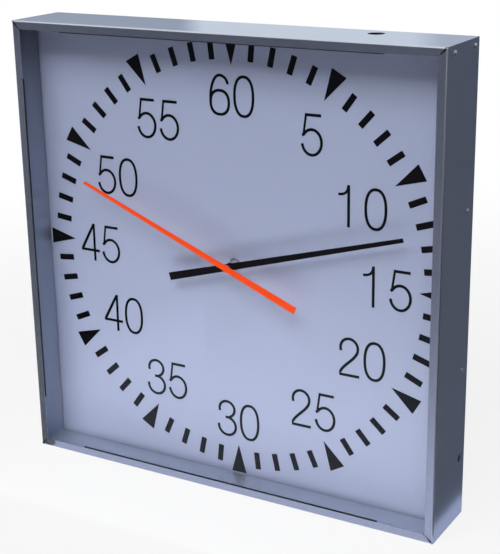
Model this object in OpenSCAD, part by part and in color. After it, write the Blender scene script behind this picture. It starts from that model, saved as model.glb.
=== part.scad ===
// Pace clock for a swimming pool hall: a square folded sheet case with a glazed front,
// a dial marked from 5 to 60, a black minute hand, an orange sweep second hand and a
// quartz stepping movement behind the dial.
// The model stands on its bottom face. The front faces -Y and +Z is up.

/* [Case] */
// Width and height of the square case
case_size = 600; // [560:5:760]
// Depth of the case from the front flange to the back panel
case_d = 95; // [84:1:140]
// Thickness of the folded case sheet
sheet_t = 1.2; // [1:0.1:1.6]
// Outer radius of the bend between a side and its front flange
bend_r = 2.2; // [1.8:0.1:3]
// Width of the front flange around the window
flange_w = 11; // [9:0.5:14]
// Gap of the upper left mitre at its outer end
gap_upper_left = 1.4; // [0.1:0.1:3]
// Gap of the upper right mitre at its outer end
gap_upper_right = 2.6; // [0.1:0.1:3]
// Gap of the lower right mitre at its outer end
gap_lower_right = 0.6; // [0.1:0.1:3]
// Gap of the lower left mitre at its outer end
gap_lower_left = 0.1; // [0.1:0.1:3]

/* [Case fixings] */
// Radius of the case screw shanks
screw_r = 1.5; // [1.3:0.1:1.9]
// Radius of the case screw heads
screw_head_r = 3; // [2.6:0.1:3.6]
// Height of the case screw heads
screw_head_h = 1.8; // [1.2:0.1:2.4]
// Distance from the top face down to the upper screws
top_screw_drop = 9; // [7:0.5:12]
// Distance of the front upper screws ahead of the dial
top_screw_front = 26; // [20:1:34]
// Distance of the rear upper screws ahead of the back face
top_screw_ahead = 12; // [10:1:16]
// Distance between the two back panel screws on each side
back_screw_spacing = 200; // [120:10:320]
// Distance of the back panel screws ahead of the back face
back_screw_ahead = 18; // [13:1:20]
// Spacing of the wall fixing holes in the back panel
wall_hole_spacing = 500; // [420:10:520]
// Radius of the wall fixing holes
wall_hole_r = 3.5; // [2.5:0.5:5]

/* [Cable entries] */
// Radius of the conduit entry in the top face
conduit_r = 10.25; // [8:0.25:10.25]
// Distance of the conduit entry to the right of the middle
conduit_x = 184; // [120:1:220]
// Distance of the conduit entry ahead of the back face
conduit_ahead = 25.5; // [25:0.5:27]
// Radius of the lead entry in the right side
lead_hole_r = 5; // [3:0.5:6]
// Distance of the lead entry below the middle
lead_hole_drop = 219; // [150:1:225]
// Distance of the lead entry ahead of the back face
lead_hole_ahead = 14; // [11:1:17]

/* [Window] */
// Thickness of the clear window
pane_t = 3; // [2:0.5:4]
// Thickness of the black sealing strips
seal_t = 1; // [0.8:0.1:1.5]
// Width of a sealing strip
seal_w = 10; // [8:0.5:11]
// How far a sealing strip shows inside the flange
seal_show = 2; // [1:0.5:3]
// Length of a sealing strip
seal_len = 450; // [300:10:480]
// Distance from the case side to the reveal wall seen through the window
reveal_inset = 4.5; // [4.3:0.1:6]
// Thickness of the reveal sheets
reveal_t = 1; // [0.8:0.1:1.2]

/* [Dial] */
// Room from the dial back to the back face, for the movement
back_depth = 47; // [42:1:60]
// Thickness of the dial plate
dial_t = 2; // [1.5:0.5:3]
// Distance from the case side in to the middles of the second marks
mark_inset = 26.7; // [26.5:0.1:40]
// Length of a second mark
bar_l = 24; // [16:1:28]
// Width of a second mark
bar_w = 8; // [5:0.5:9]
// Length of a five second mark
wedge_l = 40; // [30:1:40]
// Width of a five second mark at its outer end
wedge_w = 22.3; // [16:0.1:24]
// Height of a numeral
digit_h = 52.5; // [44:0.5:54]
// Width of one digit
digit_w = 30; // [26:0.5:31]
// Gap between two digits
digit_gap = 4.6; // [3:0.1:6]
// Width of the strokes of a numeral
stroke_w = 3.7; // [3:0.1:5]
// Thickness of the printed marks and numerals
print_t = 0.15; // [0.1:0.05:0.3]
// Width of the rails behind the dial, across the dial
rail_w = 12; // [10:1:16]
// Depth of the rails behind the dial
rail_d = 8; // [6:0.5:8]

/* [Hands] */
// How far the minute hand's tip stays inside the circle of second marks
minute_short = 25.3; // [20:0.1:40]
// Length of the minute hand's tail
minute_tail = 95; // [70:1:110]
// Width of the minute hand at its tail
minute_tail_w = 10.4; // [8:0.1:12]
// Width of the minute hand at its tip
minute_tip_w = 5.2; // [4:0.1:7]
// Height of the minute hand above the dial
minute_z = 14; // [13:0.5:15]
// How far the second hand's tip stays inside the circle of second marks
second_short = 38.3; // [20:0.1:50]
// Length of the second hand's tail
second_tail = 107; // [70:1:120]
// Width of the second hand at its tail
second_tail_w = 9.8; // [8:0.1:12]
// Width of the second hand at its tip
second_tip_w = 4.2; // [3:0.1:6]
// Height of the second hand above the dial
second_z = 22.5; // [21:0.5:26]
// Thickness of the hands
hand_t = 1; // [0.8:0.1:1.2]
// Clock angle of the minute hand as stored
minute_angle = 74.2; // [0:0.1:360]
// Clock angle of the second hand as stored
second_angle = 292.2; // [0:0.1:360]

/* [Movement] */
// Thickness of the stiffening plate behind the dial
stiff_t = 2; // [1.5:0.5:2.5]
// Width of the movement plates
plate_w = 140; // [136:1:146]
// Height of the movement plates
plate_h = 100; // [98:1:110]
// Thickness of the movement plates
plate_t = 2; // [1.6:0.2:2.4]
// Gap between the stiffening plate and the movement
stand_off = 4; // [3.5:0.5:5]
// Distance between the movement plates
plate_gap = 20; // [20:0.5:21]
// Radius of the pillars between the plates
pillar_r = 4; // [3:0.5:5]
// Radius of the long screws through the pillars
long_screw_r = 1.5; // [1.2:0.1:1.8]
// Wall of the movement cover
cover_t = 1.5; // [1.2:0.1:2]
// Distance from the axis to the third arbor
third_reach = 27; // [26:0.5:28]
// Gap between the minute wheel's teeth and the step arbor beside it
step_gap = 0.6; // [0.4:0.1:1]
// Distance from the step arbor to the rotor
rotor_reach = 15; // [14.5:0.5:15.5]
// Thickness of a wheel
wheel_t = 1.5; // [1.2:0.1:1.6]
// Thinning of each tooth for running play
tooth_play = 0.06; // [0.04:0.01:0.1]
// Radius of the second arbor
arbor_r = 1.5; // [1.3:0.1:1.7]
// Wall of the minute pipe
pipe_wall = 1; // [0.8:0.1:1.2]
// Wall of the threaded centre bush
bush_wall = 1.35; // [1.1:0.05:1.6]
// Radius of the small arbors
small_arbor_r = 1; // [0.8:0.1:1.2]
// Running clearance around an arbor
run_play = 0.05; // [0.03:0.01:0.08]
// Radius of the rotor magnet
magnet_r = 5; // [4:0.5:5]
// Radius of the motor coil
coil_r = 8.5; // [7:0.5:8.5]
// Length of the motor coil
coil_l = 22; // [16:1:24]
// Radius of the setting knob
knob_r = 12; // [9:0.5:14]
// Depth of the setting knob
knob_d = 7; // [5:0.5:8]

/* [Control board] */
// Width of the control board
board_w = 60; // [50:1:66]
// Height of the control board
board_h = 80; // [70:1:90]
// Thickness of the control board
board_t = 1.6; // [1:0.2:2]

/* [Hidden] */
$fn = 48;

// Half sizes and the planes of the stack, measured from the dial face towards the viewer
half = case_size / 2;
front_z = case_d - back_depth;
back_z = -back_depth;
slack = 0.2;
screw_play = 0.1;
dial_y = case_d / 2 - back_depth;
seal_z = front_z - sheet_t - seal_t;
pane_z = seal_z - pane_t;
lip_z = pane_z - reveal_t;
dial_back = -dial_t;
pane_play = 0.8;

// Folded tabs, brackets and the back panel's rims
tab_drop = 18;
tab_w = 20;
screw_tip = 0.8;
screw_l = 2 * sheet_t + screw_tip;
top_screw_z = [top_screw_front, back_z + top_screw_ahead];
back_screw_z = back_z + back_screw_ahead;
conduit_z = back_z + conduit_ahead;
lead_hole_z = back_z + lead_hole_ahead;
bracket_l = 28;
bracket_d = 25;
bracket_front = back_z + 28;
back_inner = back_z + sheet_t;
side_rim_front = back_screw_z + 7.2;
top_rim_front = back_inner + 11;
knob_hole_r = knob_r + 4;
rim_short = 45;
rail_short = 50;
// The reveal walls keep clear of the tips of the side screws
wall_inset = max(reveal_inset, screw_l + reveal_t + slack / 2);

// Circle of the marks, and the hands that follow it
mark_gap = 1;
mark_outer = half - wall_inset - mark_gap;
ring_r = min(half - mark_inset, mark_outer - bar_l / 2);
minute_reach = ring_r - minute_short;
second_reach = ring_r - second_short;

// Movement stack behind the dial
stiff_back = dial_back - stiff_t;
front_plate_z = stiff_back - stand_off;
front_plate_back = front_plate_z - plate_t;
back_plate_z = front_plate_back - plate_gap;
back_plate_back = back_plate_z - plate_t;
cover_back = back_plate_back - 3;
movement_x = -8;
movement_y = 2;
pillar_inset = 6;
stiff_w = plate_w + board_w + 36;
stiff_h = plate_h + 30;
stiff_x = movement_x + (stiff_w - plate_w) / 2 - 8;
movement_low = [movement_x - plate_w / 2, movement_y - plate_h / 2];
movement_high = [movement_x + plate_w / 2, movement_y + plate_h / 2];
screw_hole_r = long_screw_r + screw_play;
post_r = pillar_r - 0.5;

// Gear trains: teeth, directions of the arbors and places of the wheels
pressure = 25;
addendum = 0.8;
dedendum = 1.05;
pinion_teeth = 10;
third_teeth = 75;
minute_teeth = 80;
second_teeth = 60;
step_teeth = 50;
setting_teeth = 20;
third_dir = 0;
step_dir = 180;
rotor_dir = 120;
setting_dir = 270;
third_module = 2 * third_reach / (third_teeth + pinion_teeth);
minute_module = 2 * third_reach / (minute_teeth + pinion_teeth);
step_reach = minute_module * (minute_teeth / 2 + addendum) + step_gap + small_arbor_r;
second_module = 2 * step_reach / (second_teeth + pinion_teeth);
step_module = 2 * rotor_reach / (step_teeth + pinion_teeth);
setting_reach = minute_module * (minute_teeth + setting_teeth) / 2;
third_at = polar(third_reach, third_dir);
step_at = polar(step_reach, step_dir);
rotor_at = step_at + polar(rotor_reach, rotor_dir);
setting_at = polar(setting_reach, setting_dir);
minute_wheel_drop = 6;
magnet_drop = 11;
third_wheel_drop = 12.5;
step_wheel_drop = 14.4;
second_wheel_drop = 17.6;
minute_wheel_z = front_plate_back - minute_wheel_drop;
magnet_z = front_plate_back - magnet_drop;
third_wheel_z = front_plate_back - third_wheel_drop;
step_wheel_z = front_plate_back - step_wheel_drop;
second_wheel_z = front_plate_back - second_wheel_drop;
wheel_rim = 3.5;
wheel_hub = 3;
wheel_gap = 0.8;
pipe_back = third_wheel_z + wheel_t + wheel_gap;
magnet_h = 4;

// Stator frame: a flat ring with the rotor in one limb and the coil on the other
stator_t = 3;
stator_w = 38;
stator_h = 44;
rotor_limb = 12;
coil_limb = 8;
stator_low = [rotor_at[0] + rotor_limb / 2 - stator_w, rotor_at[1] - rotor_limb];
stator_high = stator_low + [stator_w, stator_h];
stator_z = magnet_z + (magnet_h - stator_t) / 2;
stator_mid = stator_z + stator_t / 2;
stator_front = stator_z + stator_t;
coil_x = stator_low[0] + coil_limb / 2;
coil_y = (stator_low[1] + stator_high[1]) / 2;
core_r = coil_r * 0.68;
flange_t = 1.2;

// Hubs, bush and nut on the axis
pipe_r = arbor_r + run_play + pipe_wall;
bush_in = pipe_r + run_play;
bush_r = bush_in + bush_wall;
bush_front = 8.5;
nut_front = 11;
washer_t = 0.8;
washer_r = 8;
nut_r = 6.4;
nut_base = 3;
bush_flange_t = 1.5;
bush_flange_w = 2.5;
bush_back = front_plate_back - bush_flange_t;
hub_play = 0.02;
hub_r = 5.4;
hub_rim = 1.2;
arbor_short = 0.6;
collar_r = pipe_r + 1;
minute_hub_back = minute_z - 2.2;
second_hub_back = second_z - 4.6;
knob_front = cover_back - cover_t - 0.6;
knob_floor = 1.5;

// Places of the numerals on the right half, from the top to the bottom, in ring radii
numeral_at = [[0, 0.794], [0.406, 0.651], [0.655, 0.351], [0.779, -0.004],
    [0.659, -0.359], [0.410, -0.662], [0, -0.801]] * ring_r;

// Control board and its leads
board_x = movement_x + plate_w / 2 + 12 + board_w / 2;
board_z = stiff_back - stand_off;
board_back = board_z - board_t;
board_screw_inset = 5;
lead_r = 0.8;
lead_z = stator_mid - coil_r * 0.8;
lead_pitch = 4;
lead_y = [coil_y + coil_l / 2 + lead_pitch / 2, coil_y + coil_l / 2 + lead_pitch * 1.5];
lead_end = [board_x - board_w / 2 + 10, movement_y + board_h / 2 - 12];

// A point at radius r in direction a
function polar(r, a) = [r * cos(a), r * sin(a)];
// Points along part of an ellipse
function arc(cx, cy, rx, ry, from, to, n = 14) =
    [for (i = [0:n]) let (a = from + (to - from) * i / n) [cx + rx * cos(a), cy + ry * sin(a)]];
// Points along a fuller oval, whose sides run nearly straight
function oval(cx, cy, rx, ry, from, to, n = 14, power = 0.87) =
    [for (i = [0:n]) let (a = from + (to - from) * i / n, c = cos(a), s = sin(a))
        [cx + rx * sign(c) * pow(abs(c), power), cy + ry * sign(s) * pow(abs(s), power)]];
// Points along a cubic curve
function curve(p, q, r, s, n = 12) =
    [for (i = [0:n]) let (t = i / n, u = 1 - t)
        u * u * u * p + 3 * u * u * t * q + 3 * u * t * t * r + t * t * t * s];
function unit(v) = v / norm(v);
function across(v) = [-v[1], v[0]];
// Normal of a path at point i
function path_normal(path, i) =
    let (a = path[max(i - 1, 0)], b = path[min(i + 1, len(path) - 1)]) across(unit(b - a));
// Outline of a stroke of width w along a path
function stroke(path, w) = concat(
    [for (i = [0:len(path) - 1]) path[i] + path_normal(path, i) * w / 2],
    [for (i = [len(path) - 1:-1:0]) path[i] - path_normal(path, i) * w / 2]);

// Involute flank: half the angle that a tooth spans at radius r
function flank(a) = tan(a) * 180 / PI - a;
function tooth_half(teeth, rp, r) =
    90 / teeth - tooth_play / rp * 90 / PI + flank(pressure)
    - flank(acos(min(1, rp * cos(pressure) / r)));
function flank_radii(rp, m) =
    let (base = rp * cos(pressure), root = rp - dedendum * m, tip = rp + addendum * m)
    root < base ? [root, base, rp, tip] : [root, rp, tip];
function gear_points(teeth, m) =
    let (rp = teeth * m / 2, radii = flank_radii(rp, m), n = len(radii))
    [for (i = [0:teeth - 1]) let (c = 360 * i / teeth) for (k = [0:2 * n - 1])
        let (r = radii[k < n ? k : 2 * n - 1 - k], h = tooth_half(teeth, rp, r))
        polar(r, c + (k < n ? -h : h))];
// Angle of a gear that meshes with another one along direction dir
function meshed(dir, angle, teeth, own_teeth) =
    dir + 180 - 360 / own_teeth * (0.5 - (dir - angle) * teeth / 360);

third_wheel_angle = meshed(third_dir, 0, pinion_teeth, third_teeth);
minute_wheel_angle = meshed(third_dir + 180, 0, pinion_teeth, minute_teeth);
setting_angle = meshed(setting_dir, minute_wheel_angle, minute_teeth, setting_teeth);
step_pinion_angle = meshed(step_dir, 0, second_teeth, pinion_teeth);
rotor_pinion_angle = meshed(rotor_dir, 0, step_teeth, pinion_teeth);

// From the dial's own frame (x right, y up, z to the viewer) to the standing clock
module on_dial() {
    translate([0, dial_y, half]) rotate([90, 0, 0]) children();
}
module ring(r, hole, h) {
    difference() {
        cylinder(r = r, h = h);
        translate([0, 0, -1]) cylinder(r = hole, h = h + 2);
    }
}
module block(low, high) {
    translate(low) cube(high - low);
}
module gear(teeth, m, h, hole, angle) {
    rotate([0, 0, angle]) linear_extrude(h) difference() {
        polygon(gear_points(teeth, m));
        circle(r = hole);
    }
}
// A wheel with its teeth, a hole and five windows
module train_wheel(teeth, m, hole, angle) {
    rim = teeth * m / 2 - wheel_rim;
    hub = pipe_r + wheel_hub;
    difference() {
        gear(teeth, m, wheel_t, hole, angle);
        for (i = [0:4]) rotate([0, 0, 72 * i]) translate([(rim + hub) / 2, 0, -1])
            cylinder(r = min((rim - hub) / 2, rim * 0.26), h = wheel_t + 2);
    }
}

// Folded profile: x is the depth towards the viewer, y the distance outwards
module folded_profile() {
    translate([back_z, half - sheet_t]) square([front_z - bend_r - back_z, sheet_t]);
    translate([front_z - sheet_t, half - flange_w]) square([sheet_t, flange_w - bend_r]);
    translate([front_z - bend_r, half - bend_r]) intersection() {
        difference() {
            circle(r = bend_r);
            circle(r = bend_r - sheet_t);
        }
        square(bend_r + 1);
    }
}
// The mitre at the right end of a panel, opened by gap at its outer end
module mitre_cut(gap) {
    inner = [half - flange_w, half - flange_w];
    outer = [half - gap, half];
    run = outer - inner;
    z = front_z - bend_r - (gap > 1 ? 1.5 : 0);
    translate([0, 0, z]) linear_extrude(front_z - z + 1)
        polygon([inner - run, outer + run, [half + 30, half + 20], [half + 30, half - 40]]);
}
// One side of the case along x; its skin stops short of each corner by trim
module folded_side(gap_left, gap_right, trim) {
    difference() {
        rotate([0, -90, 0]) linear_extrude(2 * half, center = true) folded_profile();
        mitre_cut(gap_right);
        mirror([1, 0, 0]) mitre_cut(gap_left);
        if (trim > 0) for (s = [-1, 1])
            block([s * half - trim, half - 2 * sheet_t, back_z - 1],
                [s * half + trim, half + 1, front_z - bend_r]);
    }
}
// Screw holes through the side sheets at x = s * half
module side_hole(s, y, z, r) {
    translate([s * (half - 3), y, z]) rotate([0, 90, 0]) cylinder(r = r, h = 8, center = true);
}
module top_screw_places() {
    for (s = [-1, 1]) for (z = top_screw_z)
        translate([s * half, half - top_screw_drop, z]) rotate([0, 90 * s, 0]) children();
}
module back_screw_places() {
    for (s = [-1, 1]) for (t = [-1, 1])
        translate([s * half, t * back_screw_spacing / 2, back_screw_z])
            rotate([0, 90 * s, 0]) children();
}
// Hole for a side screw, on the screw's own axis
module screw_hole(r) {
    translate([0, 0, -screw_l - 1]) cylinder(r = r, h = screw_l + 3);
}
// Width of a tab around the screw at depth z, kept clear of the back panel and the lips
function tab_width(z) = min(tab_w, 2 * (z - back_inner - slack), 2 * (lip_z - slack - z));
module case_top() {
    tab_x = half - 1.5 * sheet_t;
    color([0.70, 0.76, 0.84]) on_dial() difference() {
        union() {
            folded_side(gap_upper_left, gap_upper_right, 0);
            for (s = [-1, 1]) for (z = top_screw_z)
                translate([s * tab_x, half - (sheet_t + tab_drop) / 2, z])
                    cube([sheet_t, sheet_t + tab_drop, tab_width(z)], center = true);
        }
        top_screw_places() screw_hole(screw_r + screw_play / 2);
        translate([conduit_x, half, conduit_z]) rotate([90, 0, 0])
            cylinder(r = conduit_r, h = 3 * sheet_t, center = true);
    }
}
module case_bottom() {
    color([0.62, 0.67, 0.76]) on_dial() rotate([0, 0, 180])
        folded_side(gap_lower_right, gap_lower_left, 0);
}
module case_left() {
    color([0.42, 0.44, 0.48]) on_dial() difference() {
        rotate([0, 0, 90]) folded_side(0, 0, sheet_t);
        top_screw_places() screw_hole(screw_r + screw_play);
        back_screw_places() screw_hole(screw_r + screw_play);
    }
}
module case_right() {
    color([0.42, 0.44, 0.48]) on_dial() difference() {
        rotate([0, 0, -90]) folded_side(0, 0, sheet_t);
        top_screw_places() screw_hole(screw_r + screw_play);
        back_screw_places() screw_hole(screw_r + screw_play);
        side_hole(1, -lead_hole_drop, lead_hole_z, lead_hole_r);
    }
}
module corner_brackets() {
    u = half - sheet_t;
    color([0.55, 0.57, 0.60]) on_dial() for (s = [-1, 1]) {
        block([min(s * u, s * (u - sheet_t)), -u, bracket_front - bracket_d],
            [max(s * u, s * (u - sheet_t)), -u + bracket_l, bracket_front]);
        block([min(s * u, s * (u - bracket_l)), -u, bracket_front - bracket_d],
            [max(s * u, s * (u - bracket_l)), -u + sheet_t, bracket_front]);
    }
}
module back_panel() {
    u = half - sheet_t - slack;
    color([0.50, 0.53, 0.58]) on_dial() difference() {
        union() {
            block([-u, -u, back_z], [u, u, back_inner]);
            for (s = [-1, 1]) block([min(s * u, s * (u - sheet_t)), rim_short - u, back_z],
                [max(s * u, s * (u - sheet_t)), u - rim_short, side_rim_front]);
            for (s = [-1, 1]) block([rim_short - u, min(s * u, s * (u - sheet_t)), back_z],
                [u - rim_short, max(s * u, s * (u - sheet_t)), top_rim_front]);
        }
        back_screw_places() screw_hole(screw_r + screw_play / 2);
        side_hole(1, -lead_hole_drop, lead_hole_z, lead_hole_r);
        for (s = [-1, 1]) for (t = [-1, 1])
            translate([s * wall_hole_spacing / 2, t * wall_hole_spacing / 2, back_z - 1])
                cylinder(r = wall_hole_r, h = sheet_t + 2);
        translate([setting_at[0], setting_at[1], back_z - 1])
            cylinder(r = knob_hole_r, h = sheet_t + 2);
    }
}
// A pan head screw with a cross recess, its head on the face at z = 0
module pan_screw() {
    difference() {
        union() {
            cylinder(r = screw_head_r, h = screw_head_h * 0.45);
            translate([0, 0, screw_head_h * 0.45])
                cylinder(r1 = screw_head_r, r2 = screw_head_r * 0.6, h = screw_head_h * 0.55);
            translate([0, 0, -screw_l]) cylinder(r = screw_r, h = screw_l + 0.1);
        }
        for (a = [0, 90]) rotate([0, 0, a])
            translate([-screw_head_r * 0.5, -0.3, screw_head_h - 0.9])
                cube([screw_head_r, 0.6, 1]);
    }
}
module top_screws() {
    color([0.75, 0.76, 0.78]) on_dial() top_screw_places() pan_screw();
}
module back_screws() {
    color([0.75, 0.76, 0.78]) on_dial() back_screw_places() pan_screw();
}
module window_pane() {
    u = half - sheet_t - pane_play;
    color([0.85, 0.90, 0.95, 0.3]) on_dial() block([-u, -u, pane_z], [u, u, pane_z + pane_t]);
}
module window_seals() {
    inner = half - flange_w - seal_show;
    outer = min(inner + seal_w, half - sheet_t - pane_play);
    color([0.06, 0.06, 0.08]) on_dial() for (k = [0:3]) rotate([0, 0, 90 * k])
        block([-seal_len / 2, inner, seal_z], [seal_len / 2, outer, seal_z + seal_t]);
}
// Reveal sheet along x with an outward lip behind the window
module reveal(length) {
    inner = half - wall_inset;
    block([-length, inner, 0], [length, inner + reveal_t, pane_z]);
    block([-length, inner, lip_z], [length, half - sheet_t - slack, pane_z]);
}
module reveal_top() {
    color([0.36, 0.38, 0.45]) on_dial() reveal(half - wall_inset + reveal_t);
}
module reveal_bottom() {
    color([0.48, 0.51, 0.60]) on_dial() rotate([0, 0, 180]) reveal(half - wall_inset + reveal_t);
}
module reveal_left() {
    color([0.36, 0.38, 0.45]) on_dial() rotate([0, 0, 90]) reveal(half - wall_inset - slack);
}
module reveal_right() {
    color([0.36, 0.38, 0.45]) on_dial() rotate([0, 0, -90]) reveal(half - wall_inset - slack);
}
module dial_plate() {
    u = half - sheet_t - 2 * slack;
    color([0.70, 0.73, 0.86]) on_dial() difference() {
        block([-u, -u, dial_back], [u, u, 0]);
        translate([0, 0, dial_back - 1]) cylinder(r = bush_r + slack, h = dial_t + 2);
    }
}
module dial_rails() {
    color([0.55, 0.57, 0.60]) on_dial() for (k = [0:3]) rotate([0, 0, 90 * k]) {
        side = half - sheet_t;
        length = half - rail_short;
        block([-length, side - rail_w, dial_back - sheet_t], [length, side, dial_back]);
        block([-length, side - sheet_t, dial_back - rail_d], [length, side, dial_back]);
    }
}
module second_marks() {
    color([0.02, 0.02, 0.03]) on_dial() for (i = [0:59]) if (i % 5 != 0)
        rotate([0, 0, -6 * i])
            block([-bar_w / 2, ring_r - bar_l / 2, 0], [bar_w / 2, ring_r + bar_l / 2, print_t]);
}
module five_second_marks() {
    color([0.02, 0.02, 0.03]) on_dial() for (i = [0:11]) rotate([0, 0, -30 * i])
        linear_extrude(print_t) polygon([[0, mark_outer - wedge_l],
            [wedge_w / 2, mark_outer], [-wedge_w / 2, mark_outer]]);
}
// Digits on centre lines, in a cell digit_w wide and digit_h high
module digit(n) {
    s = stroke_w;
    mid = digit_w / 2;
    rx = mid - s / 2;
    top = digit_h - s / 2;
    low = s / 2;
    if (n == 0) difference() {
        polygon(oval(mid, digit_h / 2, mid, digit_h / 2, 0, 354, 59));
        polygon(oval(mid, digit_h / 2, mid - s, digit_h / 2 - s, 0, 352.5, 47));
    }
    if (n == 1) {
        translate([digit_w * 0.4, 0]) square([s, digit_h]);
        polygon(stroke(curve([0, digit_h * 0.765], [digit_w * 0.3, digit_h * 0.76],
            [digit_w * 0.43, digit_h * 0.83], [digit_w * 0.45, digit_h - 1]), s * 0.9));
    }
    if (n == 2) polygon(stroke(concat(
        arc(mid, digit_h * 0.73, rx - digit_w * 0.04, top - digit_h * 0.73, 202, 0, 20),
        curve([digit_w * 0.96 - low, digit_h * 0.72], [digit_w * 0.96 - low, digit_h * 0.47],
            [digit_w * 0.09, digit_h * 0.27], [low + digit_w * 0.01, low]),
        [[digit_w * 0.5, low], [digit_w * 0.973, low]]), s));
    if (n == 3) {
        polygon(stroke(concat(
            arc(mid, digit_h * 0.75, rx - digit_w * 0.053, top - digit_h * 0.75, 200, -62, 24),
            [[digit_w * 0.613, digit_h * 0.53], [digit_w * 0.413, digit_h * 0.525]]), s));
        polygon(stroke(arc(mid, digit_h * 0.282, rx, digit_h * 0.282 - low, 97, -188, 26), s));
    }
    if (n == 4) {
        translate([digit_w * 0.68, 0]) square([s, digit_h]);
        translate([digit_w * 0.02, digit_h * 0.28 - s / 2]) square([digit_w, s]);
        polygon([[0, digit_h * 0.28 - s / 2], [0, digit_h * 0.28 + s * 0.6],
            [digit_w * 0.68, digit_h], [digit_w * 0.68 + s, digit_h],
            [digit_w * 0.68 + s * 0.4, digit_h - s * 1.3], [s * 1.16, digit_h * 0.28 + s * 0.3]]);
    }
    if (n == 5) {
        translate([digit_w * 0.19, digit_h - s]) square([digit_w * 0.73, s]);
        polygon(stroke([[digit_w * 0.12, digit_h * 0.47], [digit_w * 0.245, digit_h - 1]], s * 0.8));
        polygon(stroke(concat([[digit_w * 0.06, digit_h * 0.478]],
            arc(mid, digit_h * 0.333, rx, digit_h * 0.333 - low, 142, -172, 30)), s));
    }
    if (n == 6) {
        difference() {
            polygon(oval(mid, digit_h * 0.32, mid, digit_h * 0.32, 0, 352.5, 47));
            polygon(oval(mid, digit_h * 0.32, mid - s, digit_h * 0.32 - s, 0, 352.5, 47));
        }
        polygon(stroke(concat(
            arc(digit_w * 0.517, digit_h * 0.73, rx - digit_w * 0.053, top - digit_h * 0.73, 8, 90, 9),
            arc(digit_w * 0.517, digit_h * 0.4, digit_w * 0.517 - s / 2, top - digit_h * 0.4, 96, 180, 14),
            [[low, digit_h * 0.3]]), s));
    }
}
// A number of one or two digits, centred at a place on the dial
module number(value, at) {
    tens = floor(value / 10);
    wide = tens > 0 ? 2 * digit_w + digit_gap : digit_w;
    translate([at[0] - wide / 2, at[1] - digit_h / 2]) {
        if (tens > 0) digit(tens);
        translate([wide - digit_w, 0]) digit(value % 10);
    }
}
module dial_numerals() {
    color([0.02, 0.02, 0.03]) on_dial() linear_extrude(print_t) for (i = [1:12]) {
        at = i <= 6 ? numeral_at[i] : numeral_at[12 - i];
        number(5 * i, i <= 6 ? at : [-at[0], at[1]]);
    }
}
module stiffening_plate() {
    color([0.60, 0.62, 0.65]) on_dial() difference() {
        block([stiff_x - stiff_w / 2, movement_y - stiff_h / 2, stiff_back],
            [stiff_x + stiff_w / 2, movement_y + stiff_h / 2, dial_back]);
        translate([0, 0, stiff_back - 1]) cylinder(r = bush_r + slack, h = stiff_t + 2);
        pillar_places() translate([0, 0, stiff_back - 1]) cylinder(r = screw_hole_r, h = stiff_t + 2);
        board_places() translate([0, 0, stiff_back - 1]) cylinder(r = screw_hole_r, h = stiff_t + 2);
    }
}
module pillar_places() {
    for (s = [-1, 1]) for (t = [-1, 1])
        translate([movement_x + s * (plate_w / 2 - pillar_inset),
            movement_y + t * (plate_h / 2 - pillar_inset), 0]) children();
}
module board_places() {
    for (s = [-1, 1]) for (t = [-1, 1])
        translate([board_x + s * (board_w / 2 - board_screw_inset),
            movement_y + t * (board_h / 2 - board_screw_inset), 0]) children();
}
module movement_spacers() {
    color([0.70, 0.71, 0.73]) on_dial() {
        pillar_places() translate([0, 0, front_plate_z])
            ring(pillar_r, screw_hole_r, stand_off);
        board_places() translate([0, 0, board_z])
            ring(post_r, screw_hole_r, stand_off);
    }
}
module plate_shape(z, centre_hole) {
    color([0.80, 0.66, 0.32]) on_dial() difference() {
        block([movement_low[0], movement_low[1], z], [movement_high[0], movement_high[1], z + plate_t]);
        pillar_places() translate([0, 0, z - 1]) cylinder(r = screw_hole_r, h = plate_t + 2);
        translate([0, 0, z - 1]) cylinder(r = centre_hole, h = plate_t + 2);
        for (p = [third_at, step_at, rotor_at]) translate([p[0], p[1], z - 1])
            cylinder(r = small_arbor_r + run_play, h = plate_t + 2);
        translate([setting_at[0], setting_at[1], z - 1])
            cylinder(r = arbor_r + run_play, h = plate_t + 2);
    }
}
module front_plate() {
    plate_shape(front_plate_z - plate_t, bush_r + run_play);
}
module back_plate() {
    plate_shape(back_plate_z - plate_t, arbor_r + run_play);
}
module plate_pillars() {
    color([0.75, 0.76, 0.78]) on_dial() pillar_places() translate([0, 0, back_plate_z])
        ring(pillar_r, screw_hole_r, plate_gap);
}
// Long screws from behind, through cover, plates and pillars into the stiffening plate
module movement_screws() {
    head = cover_back - cover_t;
    color([0.75, 0.76, 0.78]) on_dial() pillar_places() {
        translate([0, 0, head]) cylinder(r = long_screw_r, h = dial_back - head);
        translate([0, 0, head - 2]) cylinder(r = 2 * long_screw_r, h = 2);
    }
}
module movement_cover() {
    wall = slack + cover_t;
    low = [movement_low[0], movement_low[1], cover_back];
    high = [movement_high[0], movement_high[1], front_plate_back];
    color([0.20, 0.21, 0.23]) on_dial() difference() {
        union() {
            difference() {
                block(low - [wall, wall, cover_t], high + [wall, wall, 0]);
                block(low - [slack, slack, 0], high + [slack, slack, 1]);
            }
            pillar_places() translate([0, 0, cover_back - cover_t])
                cylinder(r = post_r, h = back_plate_back - cover_back + cover_t);
        }
        pillar_places() translate([0, 0, cover_back - cover_t - 1])
            cylinder(r = screw_hole_r, h = back_plate_back - cover_back + cover_t + 2);
        translate([setting_at[0], setting_at[1], cover_back - cover_t - 1])
            cylinder(r = arbor_r + slack, h = cover_t + 2);
        for (y = lead_y) translate([high[0], y, lead_z]) rotate([0, 90, 0])
            cylinder(r = lead_r + slack, h = 8, center = true);
    }
}
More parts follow.
